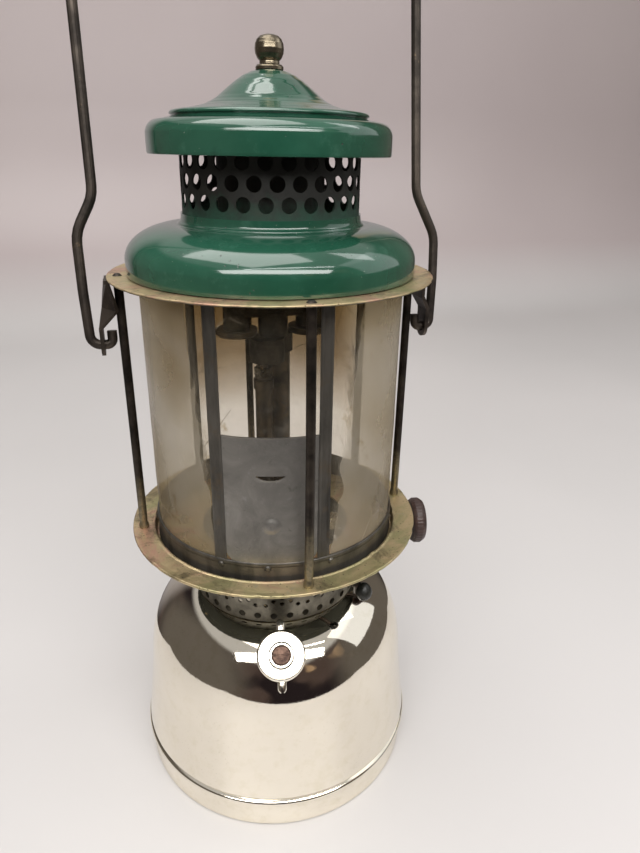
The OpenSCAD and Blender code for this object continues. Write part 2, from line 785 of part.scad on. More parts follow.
base_band();
fount_bottom();
fount_shell();
fount_collar();
pickup_tube();
filler_neck();
filler_gasket();
filler_cap();
air_screw();
pump_barrel();
pump_cap();
check_valve();
plunger_rod();
pump_leather();
pump_knob();
valve_body();
packing_nut();
valve_stem();
valve_wheel();
wheel_screw();
lever_rod();
lever_knob();
cleaning_needle();
generator_tube();
jam_nut();
gas_tip();
air_tube();
burner_bridge();
burner_manifold();
burner_caps();
centre_stud();
air_screen();
lower_plate();
frame_rods();
upper_plate();
ear_left();
ear_right();
globe_lower_band();
globe_upper_band();
globe_strips();
globe_panel();
globe_mica();
globe_rivets();
vent_hood();
draft_collar();
inner_flue();
flue_tabs();
vent_cap();
ball_nut();
bail();
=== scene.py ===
"""Looks of the pressure lantern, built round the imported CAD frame. Lengths are in metres, +Z up."""
import bpy
import json
import math
from mathutils import Matrix, Vector, noise


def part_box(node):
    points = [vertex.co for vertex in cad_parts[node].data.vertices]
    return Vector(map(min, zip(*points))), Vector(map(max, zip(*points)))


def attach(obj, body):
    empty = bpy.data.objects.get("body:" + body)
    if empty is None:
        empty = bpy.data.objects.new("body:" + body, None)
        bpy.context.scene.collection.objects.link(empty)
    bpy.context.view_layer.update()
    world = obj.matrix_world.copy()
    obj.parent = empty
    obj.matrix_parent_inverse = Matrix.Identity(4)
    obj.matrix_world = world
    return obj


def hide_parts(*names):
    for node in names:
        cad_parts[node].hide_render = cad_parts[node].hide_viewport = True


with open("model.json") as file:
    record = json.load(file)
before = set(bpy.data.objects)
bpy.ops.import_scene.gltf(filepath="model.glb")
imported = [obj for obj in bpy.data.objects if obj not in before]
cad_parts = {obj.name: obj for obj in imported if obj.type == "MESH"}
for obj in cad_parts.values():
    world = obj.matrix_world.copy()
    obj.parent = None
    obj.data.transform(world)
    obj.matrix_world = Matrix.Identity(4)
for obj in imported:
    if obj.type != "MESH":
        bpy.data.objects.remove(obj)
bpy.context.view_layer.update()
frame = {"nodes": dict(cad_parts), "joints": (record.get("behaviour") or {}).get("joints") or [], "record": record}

MM = 0.001
TAU = 2 * math.pi
AXIS = Vector((0, 0, 1))


# ---- Places read from the frame ----

def low(node):
    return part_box(node)[0].z


def high(node):
    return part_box(node)[1].z


def reach(node):
    """Largest radius of a node that is round about the lantern's axis."""
    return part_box(node)[1].x


def joint(name):
    return next(j for j in frame["joints"] if j["name"] == name)


def around(az, r, z=0.0):
    """A point at an angle round the lantern, in degrees from the front towards +X."""
    a = math.radians(az)
    return Vector((r * math.sin(a), -r * math.cos(a), z))


def azimuth_of(v):
    return math.degrees(math.atan2(v[0], -v[1]))


def points_of(node):
    obj = frame["nodes"][node]
    return [obj.matrix_world @ v.co for v in obj.data.vertices]


def silhouette(points):
    """Outermost (r, z) at each level of a shape that is round about +Z, from its foot up."""
    levels = {}
    for p in points:
        level = round(p.z, 5)
        levels[level] = max(levels.get(level, 0.0), math.hypot(p.x, p.y))
    return [Vector((levels[z], z)) for z in sorted(levels)]


def outside_points(node):
    """Points of a thin round shell's outer skin: those whose normals lean outward and up."""
    obj = frame["nodes"][node]
    turn = obj.matrix_world.to_3x3()
    out = []
    for v in obj.data.vertices:
        p, n = obj.matrix_world @ v.co, turn @ v.normal
        outward = (p.x * n.x + p.y * n.y) / max(1e-6, math.hypot(p.x, p.y))
        if outward + n.z > 0.25:
            out.append(p)
    return out


def spaced(line, gap):
    """Thins an outline so that no two points are closer than a gap."""
    out = [line[0]]
    for p in line[1:]:
        if (p - out[-1]).length > gap:
            out.append(p)
    return out


def azimuth_groups(node):
    """Middle and half width, in degrees, of each separate piece of a node round the lantern."""
    angles = sorted(azimuth_of(p) for p in points_of(node))
    groups = [[angles[0]]]
    for a in angles[1:]:
        if a - groups[-1][-1] > 8:
            groups.append([])
        groups[-1].append(a)
    return [((g[0] + g[-1]) / 2, (g[-1] - g[0]) / 2) for g in groups]


def boss(name):
    """Turns a joint into a matrix: origin on its point, +Z along its axis, +Y as near up as it can be."""
    axis = Vector(joint(name)["axis"]).normalized()
    side = AXIS.cross(axis).normalized()
    pose = Matrix((side, axis.cross(side), axis)).transposed().to_4x4()
    pose.translation = Vector(joint(name)["pos_m"])
    return pose


# ---- Outlines ----

def arc(centre, radius, start, end, count=8):
    """Points of an arc in an outline, angles in degrees."""
    steps = [math.radians(start + (end - start) * i / count) for i in range(count + 1)]
    return [(centre[0] + radius * math.cos(t), centre[1] + radius * math.sin(t)) for t in steps]


def rounded(corners, count=5):
    """Rounds an outline given as (r, z, corner radius) points, open at both ends."""
    out = [Vector(corners[0][:2])]
    for before, corner, after in zip(corners, corners[1:], corners[2:]):
        here = Vector(corner[:2])
        back = Vector(before[:2]) - here
        ahead = Vector(after[:2]) - here
        radius = corner[2] if len(corner) > 2 else 0
        turn = math.pi - back.angle(ahead)
        if radius <= 0 or turn < 0.02:
            out.append(here)
            continue
        reach_back = min(radius * math.tan(turn / 2), 0.48 * back.length, 0.48 * ahead.length)
        first = here + back.normalized() * reach_back
        last = here + ahead.normalized() * reach_back
        for i in range(count + 1):
            t = i / count
            out.append(first * (1 - t) ** 2 + here * 2 * t * (1 - t) + last * t ** 2)
    out.append(Vector(corners[-1][:2]))
    return [tuple(p) for p in out]


def sheet_outline(line, thickness):
    """Closes an open outline into a thin sheet, laid on the right-hand side of its direction."""
    points = [Vector(p) for p in line]
    inner = []
    for i, p in enumerate(points):
        run = (points[min(i + 1, len(points) - 1)] - points[max(i - 1, 0)]).normalized()
        inner.append(p + Vector((run.y, -run.x)) * thickness)
    return [tuple(p) for p in points + inner[::-1]]


def smooth_line(points, count=6):
    """A Catmull-Rom curve through outline points."""
    points = [Vector(p[:2]) for p in points]
    out = []
    for i in range(len(points) - 1):
        a, b, c, d = (points[max(0, min(len(points) - 1, i + k))] for k in (-1, 0, 1, 2))
        for j in range(count):
            t = j / count
            p = b * 2 + (c - a) * t + (a * 2 - b * 5 + c * 4 - d) * t * t
            out.append((p + (b * 3 - a - c * 3 + d) * t ** 3) / 2)
    return out + [points[-1]]


def blend_line(p0, t0, p1, t1, count=24):
    """A curve that leaves p0 along t0 and arrives at p1 along t1."""
    size = (p1 - p0).length
    t0, t1 = t0.normalized() * size, t1.normalized() * size
    out = []
    for i in range(count + 1):
        t = i / count
        out.append(p0 * (2 * t ** 3 - 3 * t * t + 1) + t0 * (t ** 3 - 2 * t * t + t)
                   + p1 * (3 * t * t - 2 * t ** 3) + t1 * (t ** 3 - t * t))
    return out


def between(pairs, x):
    """Straight-line interpolation through (x, y) pairs."""
    for (x0, y0), (x1, y1) in zip(pairs, pairs[1:]):
        if x <= x1:
            return y0 + (y1 - y0) * max(0.0, (x - x0) / (x1 - x0))
    return pairs[-1][1]


def ramp(x, a, b):
    t = max(0.0, min(1.0, (x - a) / (b - a)))
    return t * t * (3 - 2 * t)


def rough(p, scale):
    return noise.noise(Vector(p) * scale)


# ---- Meshes ----

def piece(name, verts, faces, material, body, replaces=(), sharp=38):
    """Makes a mesh object from vertices and faces, rides it on a body and hides the CAD parts it stands for."""
    mesh = bpy.data.meshes.new(name)
    mesh.from_pydata([tuple(v) for v in verts], [], faces)
    mesh.validate()
    mesh.update()
    mesh.shade_smooth()
    mesh.set_sharp_from_angle(angle=math.radians(sharp))
    obj = bpy.data.objects.new(name, mesh)
    bpy.context.scene.collection.objects.link(obj)
    mesh.materials.append(material)
    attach(obj, body)
    if replaces:
        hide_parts(*replaces)
    return obj


def lathe_mesh(outline, segments=256, closed=True, wobble=None):
    """Vertices and faces of an outline (r, z) turned about the axis; outlines run round their solid."""
    verts, rings = [], []
    for r, z in outline:
        if r < 1e-7:
            rings.append([len(verts)])
            verts.append(Vector((0, 0, z)))
            continue
        rings.append(list(range(len(verts), len(verts) + segments)))
        for s in range(segments):
            p = around(360 * s / segments, r, z)
            verts.append(p + wobble(p) if wobble else p)
    faces = []
    pairs = list(zip(rings, rings[1:])) + ([(rings[-1], rings[0])] if closed else [])
    for a, b in pairs:
        if len(a) == 1 and len(b) == 1:
            continue
        for s in range(segments):
            t = (s + 1) % segments
            if len(a) == 1:
                faces.append((a[0], b[t], b[s]))
            elif len(b) == 1:
                faces.append((a[s], a[t], b[0]))
            else:
                faces.append((a[s], a[t], b[t], b[s]))
    return verts, faces


def placed(verts, matrix):
    return [matrix @ v for v in verts]


def merged(*parts):
    """Joins several (verts, faces) pairs into one."""
    verts, faces = [], []
    for v, f in parts:
        base = len(verts)
        verts += v
        faces += [tuple(base + i for i in face) for face in f]
    return verts, faces


def tube_faces(rings, sides):
    """Faces between rings of points, one after the other, and over both ends."""
    faces = []
    for start in range(0, (rings - 1) * sides, sides):
        for k in range(sides):
            a, b = start + k, start + (k + 1) % sides
            faces.append((a, b, b + sides, a + sides))
    faces.append(tuple(range(sides - 1, -1, -1)))
    faces.append(tuple(range((rings - 1) * sides, rings * sides)))
    return faces


def sweep_mesh(points, radius, sides, normal):
    """A round wire through points; radius(t) is its size at a share of the length."""
    verts = []
    for i, p in enumerate(points):
        run = (points[min(i + 1, len(points) - 1)] - points[max(i - 1, 0)]).normalized()
        normal = (normal - run * normal.dot(run)).normalized()
        other = run.cross(normal)
        r = radius(i / (len(points) - 1))
        for k in range(sides):
            t = TAU * k / sides
            verts.append(p + normal * (r * math.cos(t)) + other * (r * math.sin(t)))
    return verts, tube_faces(len(points), sides)


def slab_mesh(front, back, columns, rows, keep=None):
    """A thin sheet between two grids of points, with its edges closed; keep says which cells exist."""
    verts = list(front) + list(back)
    half = len(front)
    exists = [[keep is None or keep(c, r) for c in range(columns - 1)] for r in range(rows - 1)]
    faces = []

    def cell(c, r):
        return 0 <= c < columns - 1 and 0 <= r < rows - 1 and exists[r][c]

    for r in range(rows - 1):
        for c in range(columns - 1):
            if not exists[r][c]:
                continue
            a, b = r * columns + c, r * columns + c + 1
            d, e = a + columns, b + columns
            faces.append((a, b, e, d))
            faces.append((half + a, half + d, half + e, half + b))
            for (p, q), (nc, nr) in (((b, a), (c, r - 1)), ((d, e), (c, r + 1)),
                                     ((a, d), (c - 1, r)), ((e, b), (c + 1, r))):
                if not cell(nc, nr):
                    faces.append((p, q, half + q, half + p))
    used = sorted({i for f in faces for i in f})
    place = {old: new for new, old in enumerate(used)}
    return [verts[i] for i in used], [tuple(place[i] for i in f) for f in faces]


def curved_sheet(az0, az1, z0, z1, radius, thickness, columns, rows, bulge, keep=None):
    """A sheet bent round the axis between two angles; bulge(u, v) moves it outward."""
    front, back = [], []
    for r in range(rows):
        v = r / (rows - 1)
        for c in range(columns):
            u = c / (columns - 1)
            out = radius + bulge(u, v)
            az, z = az0 + (az1 - az0) * u, z0 + (z1 - z0) * v
            front.append(around(az, out, z))
            back.append(around(az, out - thickness, z))
    return slab_mesh(front, back, columns, rows, keep)


# ---- Materials ----

class Nodes:
    """Short calls for the usual nodes of a tree; place is the coordinate they read."""

    def __init__(self, tree, place):
        self.tree = tree
        self.place = tree.nodes.new("ShaderNodeTexCoord").outputs[place]

    def node(self, kind, settings=None, **links):
        made = self.tree.nodes.new(kind)
        for key, value in (settings or {}).items():
            setattr(made, key, value)
        for key, value in links.items():
            self.feed(made.inputs[key.replace("_", " ")], value)
        return made

    def feed(self, socket, value):
        if isinstance(value, bpy.types.NodeSocket):
            self.tree.links.new(value, socket)
        elif isinstance(value, (tuple, list)) and len(value) == 3 and socket.type == "RGBA":
            socket.default_value = (*value, 1)
        else:
            socket.default_value = value

    def stretched(self, scale):
        made = self.node("ShaderNodeMapping", Vector=self.place)
        made.inputs["Scale"].default_value = scale
        return made.outputs["Vector"]

    def noise(self, scale, detail=4.0, rough=0.55, distortion=0.0, vector=None):
        made = self.node("ShaderNodeTexNoise", Vector=vector or self.place, Scale=scale, Detail=detail,
                         Roughness=rough, Distortion=distortion)
        return made.outputs["Fac"]

    def cracks(self, scale):
        made = self.node("ShaderNodeTexVoronoi", {"feature": "DISTANCE_TO_EDGE"},
                         Vector=self.place, Scale=scale)
        return made.outputs["Distance"]

    def cells(self, scale):
        return self.node("ShaderNodeTexVoronoi", Vector=self.place, Scale=scale).outputs["Distance"]

    def wave(self, scale, vector, distortion=0.0):
        made = self.node("ShaderNodeTexWave", Vector=vector, Scale=scale, Distortion=distortion, Detail=3.0)
        return made.outputs["Fac"]

    def level(self, value, a, b, to_a=0.0, to_b=1.0, curve="LINEAR"):
        """Maps a value from a..b to to_a..to_b, held at the ends."""
        made = self.node("ShaderNodeMapRange", {"clamp": True, "interpolation_type": curve}, Value=value)
        for key, number in (("From Min", a), ("From Max", b), ("To Min", to_a), ("To Max", to_b)):
            made.inputs[key].default_value = number
        return made.outputs["Result"]

    def mix(self, share, a, b):
        made = self.node("ShaderNodeMix", {"data_type": "RGBA"})
        self.feed(made.inputs[0], share)
        self.feed(made.inputs[6], a)
        self.feed(made.inputs[7], b)
        return made.outputs[2]

    def combine(self, operation, a, b):
        made = self.node("ShaderNodeMath", {"operation": operation, "use_clamp": True})
        self.feed(made.inputs[0], a)
        self.feed(made.inputs[1], b)
        return made.outputs[0]

    def height(self):
        return self.node("ShaderNodeSeparateXYZ", Vector=self.place).outputs["Z"]

    def facing_up(self):
        normal = self.node("ShaderNodeNewGeometry").outputs["Normal"]
        return self.node("ShaderNodeSeparateXYZ", Vector=normal).outputs["Z"]

    def bump(self, value, distance, strength=1.0, below=None):
        made = self.node("ShaderNodeBump", Height=value)
        made.inputs["Strength"].default_value = strength
        made.inputs["Distance"].default_value = distance
        if below:
            self.feed(made.inputs["Normal"], below)
        return made.outputs["Normal"]


class Paint(Nodes):
    """A node material on one Principled shader."""

    def __init__(self, name, **sockets):
        self.material = bpy.data.materials.new(name)
        self.material.use_nodes = True
        super().__init__(self.material.node_tree, "Object")
        self.shader = self.tree.nodes["Principled BSDF"]
        self.use(**sockets)

    def use(self, **links):
        for key, value in links.items():
            self.feed(self.shader.inputs[key.replace("_", " ")], value)
        return self.material

    def worn(self, tone, cloud, dull, normal):
        """A tone whose roughness runs from dull[0] to dull[1] as a cloudy noise rises."""
        return self.use(Base_Color=tone, Roughness=self.level(cloud, 0.3, 0.7, *dull), Normal=normal)


def polished_nickel(name, age):
    """Mirror nickel plate: faint yellowing, smudges, hairline scratches and specks of grime."""
    p = Paint(name, Metallic=1.0)
    cloud = p.noise(28, 5, 0.6, 0.4)
    fine = p.noise(150, 6, 0.7)
    tone = p.mix(p.level(cloud, 0.35, 0.7), (0.90, 0.845, 0.735), (0.84, 0.785, 0.68))
    tone = p.mix(p.level(fine, 0.50, 0.72, 0.0, 0.25 + 0.5 * age), tone, (0.62, 0.55, 0.34))
    specks = p.combine("MULTIPLY", p.level(p.cells(800), 0.12, 0.05), p.level(p.noise(33), 0.50, 0.60))
    tone = p.mix(specks, tone, (0.30, 0.24, 0.16))
    hair = p.wave(420, p.stretched((0.35, 0.35, 3.0)), 9.0)
    dull = p.level(cloud, 0.3, 0.75, 0.035 + 0.25 * age, 0.075 + 0.35 * age)
    ripple = p.bump(p.noise(20, 2, 0.4), 0.0005, 0.30)
    return p.use(Base_Color=tone, Roughness=dull, Normal=p.bump(hair, 0.000003, 0.5, ripple))


def patina_plate():
    """Heat-tarnished nickel over brass: olive and tan clouds with pink, dark stains and pits, and painted shade
    that darkens the faces which point down.
    """
    p = Paint("patina_plate", Metallic=0.8)
    broad = p.noise(30, 6, 0.66, 0.9)
    middle = p.noise(85, 6, 0.7, 0.5)
    fine = p.noise(330, 6, 0.75)
    tone = p.mix(p.level(broad, 0.38, 0.50), (0.44, 0.40, 0.21), (0.62, 0.49, 0.29))
    tone = p.mix(p.level(broad, 0.53, 0.62), tone, (0.62, 0.38, 0.27))
    tone = p.mix(p.level(middle, 0.52, 0.66, 0.0, 0.85), tone, (0.17, 0.14, 0.08))
    tone = p.mix(p.level(p.noise(140, 5, 0.7), 0.60, 0.70, 0.0, 0.8), tone, (0.50, 0.44, 0.29))
    pits = p.combine("MULTIPLY", p.level(p.cells(620), 0.24, 0.10), p.level(fine, 0.47, 0.58))
    tone = p.mix(pits, tone, (0.06, 0.045, 0.03))
    # Painted shade: faces that point downward are darkened to near black, as if in shadow under the plate.
    tone = p.mix(p.level(p.facing_up(), -0.25, -0.75), tone, (0.050, 0.052, 0.042))
    rough = p.level(fine, 0.3, 0.75, 0.28, 0.58)
    return p.use(Base_Color=tone, Roughness=rough,
                 Normal=p.bump(fine, 0.00016, 0.7, p.bump(broad, 0.0008, 0.35)))


def green_enamel():
    """Glossy green enamel with a slight orange peel, faded clouds, fine crazing and tiny chips."""
    p = Paint("green_enamel", Coat_Weight=0.8, Coat_Roughness=0.04)
    broad = p.noise(24, 5, 0.58, 0.6)
    spots = p.noise(75, 6, 0.72)
    tone = p.mix(p.level(broad, 0.36, 0.66), (0.010, 0.055, 0.032), (0.020, 0.088, 0.055))
    tone = p.mix(p.level(spots, 0.56, 0.74, 0.0, 0.55), tone, (0.055, 0.15, 0.105))
    tone = p.mix(p.level(spots, 0.40, 0.28, 0.0, 0.5), tone, (0.006, 0.032, 0.020))
    craze = p.combine("MULTIPLY", p.level(p.cracks(30), 0.012, 0.0), p.level(p.noise(9), 0.62, 0.66))
    chips = p.combine("MULTIPLY", p.level(p.cells(330), 0.12, 0.06), p.level(p.noise(52), 0.54, 0.60))
    dark = p.combine("MAXIMUM", chips, craze)
    tone = p.mix(dark, tone, (0.012, 0.012, 0.009))
    glint = p.combine("MULTIPLY", p.level(p.cells(540), 0.07, 0.03), p.level(p.noise(40), 0.56, 0.62))
    tone = p.mix(glint, tone, (0.55, 0.60, 0.52))
    rough = p.combine("ADD", p.level(broad, 0.3, 0.8, 0.09, 0.20), p.level(chips, 0, 1, 0, 0.4))
    peel = p.bump(p.noise(230, 2, 0.4), 0.00006, 0.5, p.bump(broad, 0.0006, 0.25))
    pitted = p.bump(p.level(dark, 0, 1, 1, 0), 0.0002, 0.7, peel)
    return p.use(Base_Color=tone, Roughness=rough, Normal=pitted)


def burnt_enamel(foot_z):
    """Enamel burnt black by the flame, still green near its foot, with ash-grey bloom."""
    p = Paint("burnt_enamel")
    blotch = p.noise(140, 6, 0.7)
    rise = p.combine("ADD", p.level(p.height(), foot_z, foot_z + 16 * MM),
                     p.level(blotch, 0.3, 0.8, -0.25, 0.35))
    tone = p.mix(p.level(rise, 0.10, 0.70), (0.018, 0.065, 0.042), (0.010, 0.010, 0.008))
    tone = p.mix(p.level(p.noise(60, 5, 0.6), 0.55, 0.75, 0.0, 0.5), tone, (0.040, 0.038, 0.030))
    return p.worn(tone, blotch, (0.40, 0.80), p.bump(blotch, 0.0002, 0.6))


def dark_steel():
    """Oxidised steel wire: brown-black scale with rubbed, paler patches and pinpoint rust."""
    p = Paint("dark_steel", Metallic=0.75)
    broad = p.noise(45, 6, 0.65, 0.4)
    fine = p.noise(700, 5, 0.7)
    tone = p.mix(p.level(broad, 0.38, 0.62), (0.032, 0.026, 0.022), (0.100, 0.080, 0.065))
    tone = p.mix(p.level(p.noise(160, 5, 0.7), 0.62, 0.72), tone, (0.20, 0.14, 0.09))
    rough = p.level(broad, 0.3, 0.7, 0.55, 0.36)
    return p.use(Base_Color=tone, Roughness=rough, Normal=p.bump(fine, 0.0001, 0.7))


def rod_steel(foot_z):
    """The same dark steel, its lower ends rubbed to brassy metal."""
    p = Paint("rod_steel", Metallic=0.8)
    broad = p.noise(80, 6, 0.65, 0.4)
    fine = p.noise(700, 5, 0.7)
    rise = p.combine("ADD", p.level(p.height(), foot_z + 4 * MM, foot_z + 36 * MM),
                     p.level(broad, 0.3, 0.7, -0.2, 0.3))
    dark = p.mix(p.level(broad, 0.4, 0.65), (0.022, 0.018, 0.015), (0.070, 0.056, 0.044))
    bare = p.mix(p.level(fine, 0.35, 0.65), (0.30, 0.245, 0.150), (0.17, 0.15, 0.10))
    tone = p.mix(p.level(rise, 0.25, 0.75), bare, dark)
    return p.worn(tone, broad, (0.30, 0.52), p.bump(fine, 0.00012, 0.6))


def tarnished_brass():
    p = Paint("tarnished_brass", Metallic=0.95)
    broad = p.noise(130, 6, 0.65, 0.3)
    tone = p.mix(p.level(broad, 0.36, 0.62), (0.085, 0.070, 0.048), (0.25, 0.21, 0.15))
    return p.worn(tone, broad, (0.40, 0.20), p.bump(p.noise(900, 4, 0.6), 0.00006, 0.5))


def dull_nickel():
    """Unpolished nickel of the air screen, with grey stains round its holes; its whole tone is kept dark as
    painted shade.
    """
    p = Paint("dull_nickel", Metallic=0.9)
    broad = p.noise(90, 6, 0.65, 0.3)
    # Painted shade: this base tone is much darker than nickel and stands in for the shade and dark reflections on
    # the screen.
    tone = p.mix(p.level(broad, 0.34, 0.6), (0.095, 0.088, 0.068), (0.24, 0.22, 0.175))
    tone = p.mix(p.level(p.noise(320, 5, 0.7), 0.6, 0.72, 0.0, 0.7), tone, (0.055, 0.048, 0.034))
    return p.worn(tone, broad, (0.5, 0.28), p.bump(p.noise(500, 4, 0.6), 0.00008, 0.6))


def globe_steel():
    """Tinned sheet of the globe's bands and strips: grey, streaked, brown at places."""
    p = Paint("globe_steel", Metallic=0.55)
    streak = p.noise(120, 5, 0.6, 0.2, p.stretched((1, 1, 0.25)))
    tone = p.mix(p.level(streak, 0.35, 0.62), (0.045, 0.041, 0.035), (0.115, 0.105, 0.090))
    tone = p.mix(p.level(p.noise(60, 5, 0.7), 0.56, 0.72, 0.0, 0.8), tone, (0.115, 0.080, 0.045))
    return p.worn(tone, streak, (0.5, 0.3), p.bump(p.noise(420, 4, 0.6), 0.0001, 0.5))


def scuffed_aluminium():
    """Matte aluminium sheet with cloudy handling marks, fine scratches and white specks."""
    p = Paint("scuffed_aluminium", Metallic=0.8)
    cloud = p.noise(55, 6, 0.65, 0.6)
    scuff = p.noise(210, 6, 0.75, 0.3)
    tone = p.mix(p.level(cloud, 0.34, 0.66), (0.19, 0.18, 0.165), (0.31, 0.295, 0.27))
    tone = p.mix(p.level(scuff, 0.58, 0.72, 0.0, 0.6), tone, (0.36, 0.35, 0.33))
    tone = p.mix(p.level(scuff, 0.40, 0.30, 0.0, 0.6), tone, (0.085, 0.078, 0.066))
    tone = p.mix(p.level(p.cells(700), 0.06, 0.025), tone, (0.62, 0.61, 0.58))
    return p.worn(tone, cloud, (0.55, 0.38), p.bump(cloud, 0.0006, 0.35, p.bump(scuff, 0.00008, 0.4)))


def aged_mica():
    """Clear mica sheet: it tints what is behind it straw to brown, with crazing, dust and gloss."""
    p = Paint("aged_mica", IOR=1.5)
    cloud = p.noise(15, 3, 0.45, 0.4)
    stain = p.noise(38, 5, 0.65, 0.8)
    tint = p.mix(p.level(cloud, 0.38, 0.66), (0.985, 0.972, 0.945), (0.955, 0.928, 0.870))
    tint = p.mix(p.level(stain, 0.62, 0.72, 0.0, 0.6), tint, (0.62, 0.52, 0.34))
    tint = p.mix(p.level(p.height(), 0.214, 0.232, 0.0, 0.55), tint, (0.70, 0.60, 0.36))
    behind = p.node("ShaderNodeSeparateXYZ", Vector=p.place).outputs["Y"]
    # The sheet's rear half, from a height up, is tinted a darker brown, which darkens the view through the middle
    # of the globe.
    rear_darker_tint = p.combine("MULTIPLY", p.level(behind, 0.018, 0.034), p.level(p.height(), 0.155, 0.185))
    rear_darker_tint = p.combine("MULTIPLY", rear_darker_tint, p.level(cloud, 0.3, 0.6, 0.7, 1.0))
    tint = p.mix(rear_darker_tint, tint, (0.50, 0.415, 0.30))
    craze = p.combine("MULTIPLY", p.level(p.cracks(26), 0.014, 0.0), p.level(p.noise(24), 0.56, 0.64))
    dust = p.level(p.noise(95, 6, 0.7), 0.50, 0.75, 0.0, 0.055)
    cover = p.combine("ADD", dust, p.level(craze, 0.0, 1.0, 0.0, 0.24))
    tone = p.mix(p.level(cloud, 0.4, 0.6), (0.60, 0.56, 0.49), (0.42, 0.36, 0.26))
    wrinkle = p.bump(p.noise(42, 3, 0.5, 1.2), 0.0014, 0.30)
    p.use(Base_Color=tone, Roughness=p.level(cloud, 0.3, 0.7, 0.06, 0.20),
          Normal=p.bump(craze, 0.0002, 0.5, wrinkle))
    clear = p.node("ShaderNodeBsdfTransparent", Color=tint)
    gloss = p.node("ShaderNodeFresnel", IOR=1.42)
    share = p.combine("ADD", cover, p.combine("MULTIPLY", gloss.outputs["Fac"], 0.5))
    both = p.node("ShaderNodeMixShader")
    p.feed(both.inputs[0], share)
    p.feed(both.inputs[1], clear.outputs["BSDF"])
    p.feed(both.inputs[2], p.shader.outputs["BSDF"])
    p.tree.links.new(both.outputs[0], p.tree.nodes["Material Output"].inputs["Surface"])
    return p.material


def sooty_iron():
    p = Paint("sooty_iron", Metallic=0.3)
    broad = p.noise(110, 6, 0.7, 0.4)
    tone = p.mix(p.level(broad, 0.36, 0.66), (0.014, 0.012, 0.010), (0.075, 0.062, 0.048))
    return p.worn(tone, broad, (0.85, 0.55), p.bump(p.noise(520, 5, 0.7), 0.00025, 0.8))


def heated_metal():
    """Tubes beside the flame: grey-brown with straw and blue temper colours."""
    p = Paint("heated_metal", Metallic=0.85)
    broad = p.noise(70, 5, 0.6, 0.4)
    tone = p.mix(p.level(broad, 0.34, 0.56), (0.050, 0.042, 0.035), (0.135, 0.105, 0.070))
    tone = p.mix(p.level(broad, 0.58, 0.7), tone, (0.060, 0.062, 0.075))
    return p.worn(tone, broad, (0.5, 0.34), p.bump(p.noise(600, 4, 0.6), 0.0001, 0.6))


def brown_resin():
    """Worn red-brown moulded resin, chalky on its ridges."""
    p = Paint("brown_resin")
    broad = p.noise(180, 6, 0.7, 0.3)
    tone = p.mix(p.level(broad, 0.36, 0.66), (0.026, 0.014, 0.012), (0.070, 0.040, 0.034))
    return p.worn(tone, broad, (0.58, 0.38), p.bump(p.noise(800, 4, 0.6), 0.00012, 0.6))


def black_resin():
    p = Paint("black_resin")
    broad = p.noise(260, 5, 0.65)
    tone = p.mix(p.level(broad, 0.36, 0.66), (0.006, 0.006, 0.005), (0.022, 0.022, 0.017))
    return p.worn(tone, broad, (0.24, 0.48), p.bump(p.noise(700, 4, 0.6), 0.0001, 0.5))


def browned_screw():
    p = Paint("browned_screw", Metallic=0.7)
    broad = p.noise(420, 6, 0.7, 0.4)
    tone = p.mix(p.level(broad, 0.36, 0.66), (0.045, 0.024, 0.018), (0.145, 0.085, 0.060))
    return p.worn(tone, broad, (0.55, 0.35), p.bump(broad, 0.00012, 0.7))


def cork_seal():
    p = Paint("cork_seal", Roughness=0.85)
    grain = p.noise(900, 5, 0.7)
    tone = p.mix(p.level(grain, 0.35, 0.65), (0.08, 0.06, 0.045), (0.20, 0.15, 0.11))
    return p.use(Base_Color=tone, Normal=p.bump(grain, 0.0002, 0.8))


def cup_leather():
    p = Paint("cup_leather")
    grain = p.cells(1400)
    tone = p.mix(p.level(p.noise(200, 5, 0.6), 0.35, 0.65), (0.22, 0.12, 0.06), (0.38, 0.23, 0.12))
    return p.use(Base_Color=tone, Roughness=p.level(grain, 0.1, 0.6, 0.5, 0.7),
                 Normal=p.bump(grain, 0.0002, 0.7))


def bright_wire():
    p = Paint("bright_wire", Metallic=1.0, Roughness=0.3)
    fine = p.noise(1200, 4, 0.6)
    tone = p.mix(p.level(fine, 0.35, 0.65), (0.46, 0.46, 0.45), (0.62, 0.62, 0.61))
    return p.use(Base_Color=tone, Normal=p.bump(fine, 0.00004, 0.5))


def floor_paint():
    """Plain pale table top that turns a shade pinker and greyer where it rises as the backdrop."""
    p = Paint("floor_paint")
    cloud = p.noise(2.2, 3, 0.5)
    white = p.mix(p.level(cloud, 0.3, 0.7), (0.56, 0.545, 0.54), (0.60, 0.58, 0.575))
    wall = p.mix(p.level(cloud, 0.3, 0.7), (0.48, 0.415, 0.415), (0.52, 0.455, 0.45))
    tone = p.mix(p.level(p.height(), 0.012, 0.10), white, wall)
    return p.worn(tone, cloud, (0.32, 0.38), p.bump(p.noise(160, 3, 0.5), 0.00005, 0.4))


NICKEL = polished_nickel("polished_nickel", 0.0)
FOOT = polished_nickel("foot_nickel", 0.2)
CAP_NICKEL = polished_nickel("cap_nickel", 0.5)
PATINA = patina_plate()
ENAMEL = green_enamel()
BURNT = burnt_enamel(low("draft_collar"))
STEEL = dark_steel()
ROD = rod_steel(high("lower_plate"))
BRASS = tarnished_brass()
SCREEN = dull_nickel()
BAND = globe_steel()
PANEL = scuffed_aluminium()
MICA = aged_mica()
IRON = sooty_iron()
HEATED = heated_metal()
RESIN = brown_resin()
BLACK = black_resin()
SCREW = browned_screw()
SEAL = cork_seal()
LEATHER = cup_leather()
WIRE = bright_wire()

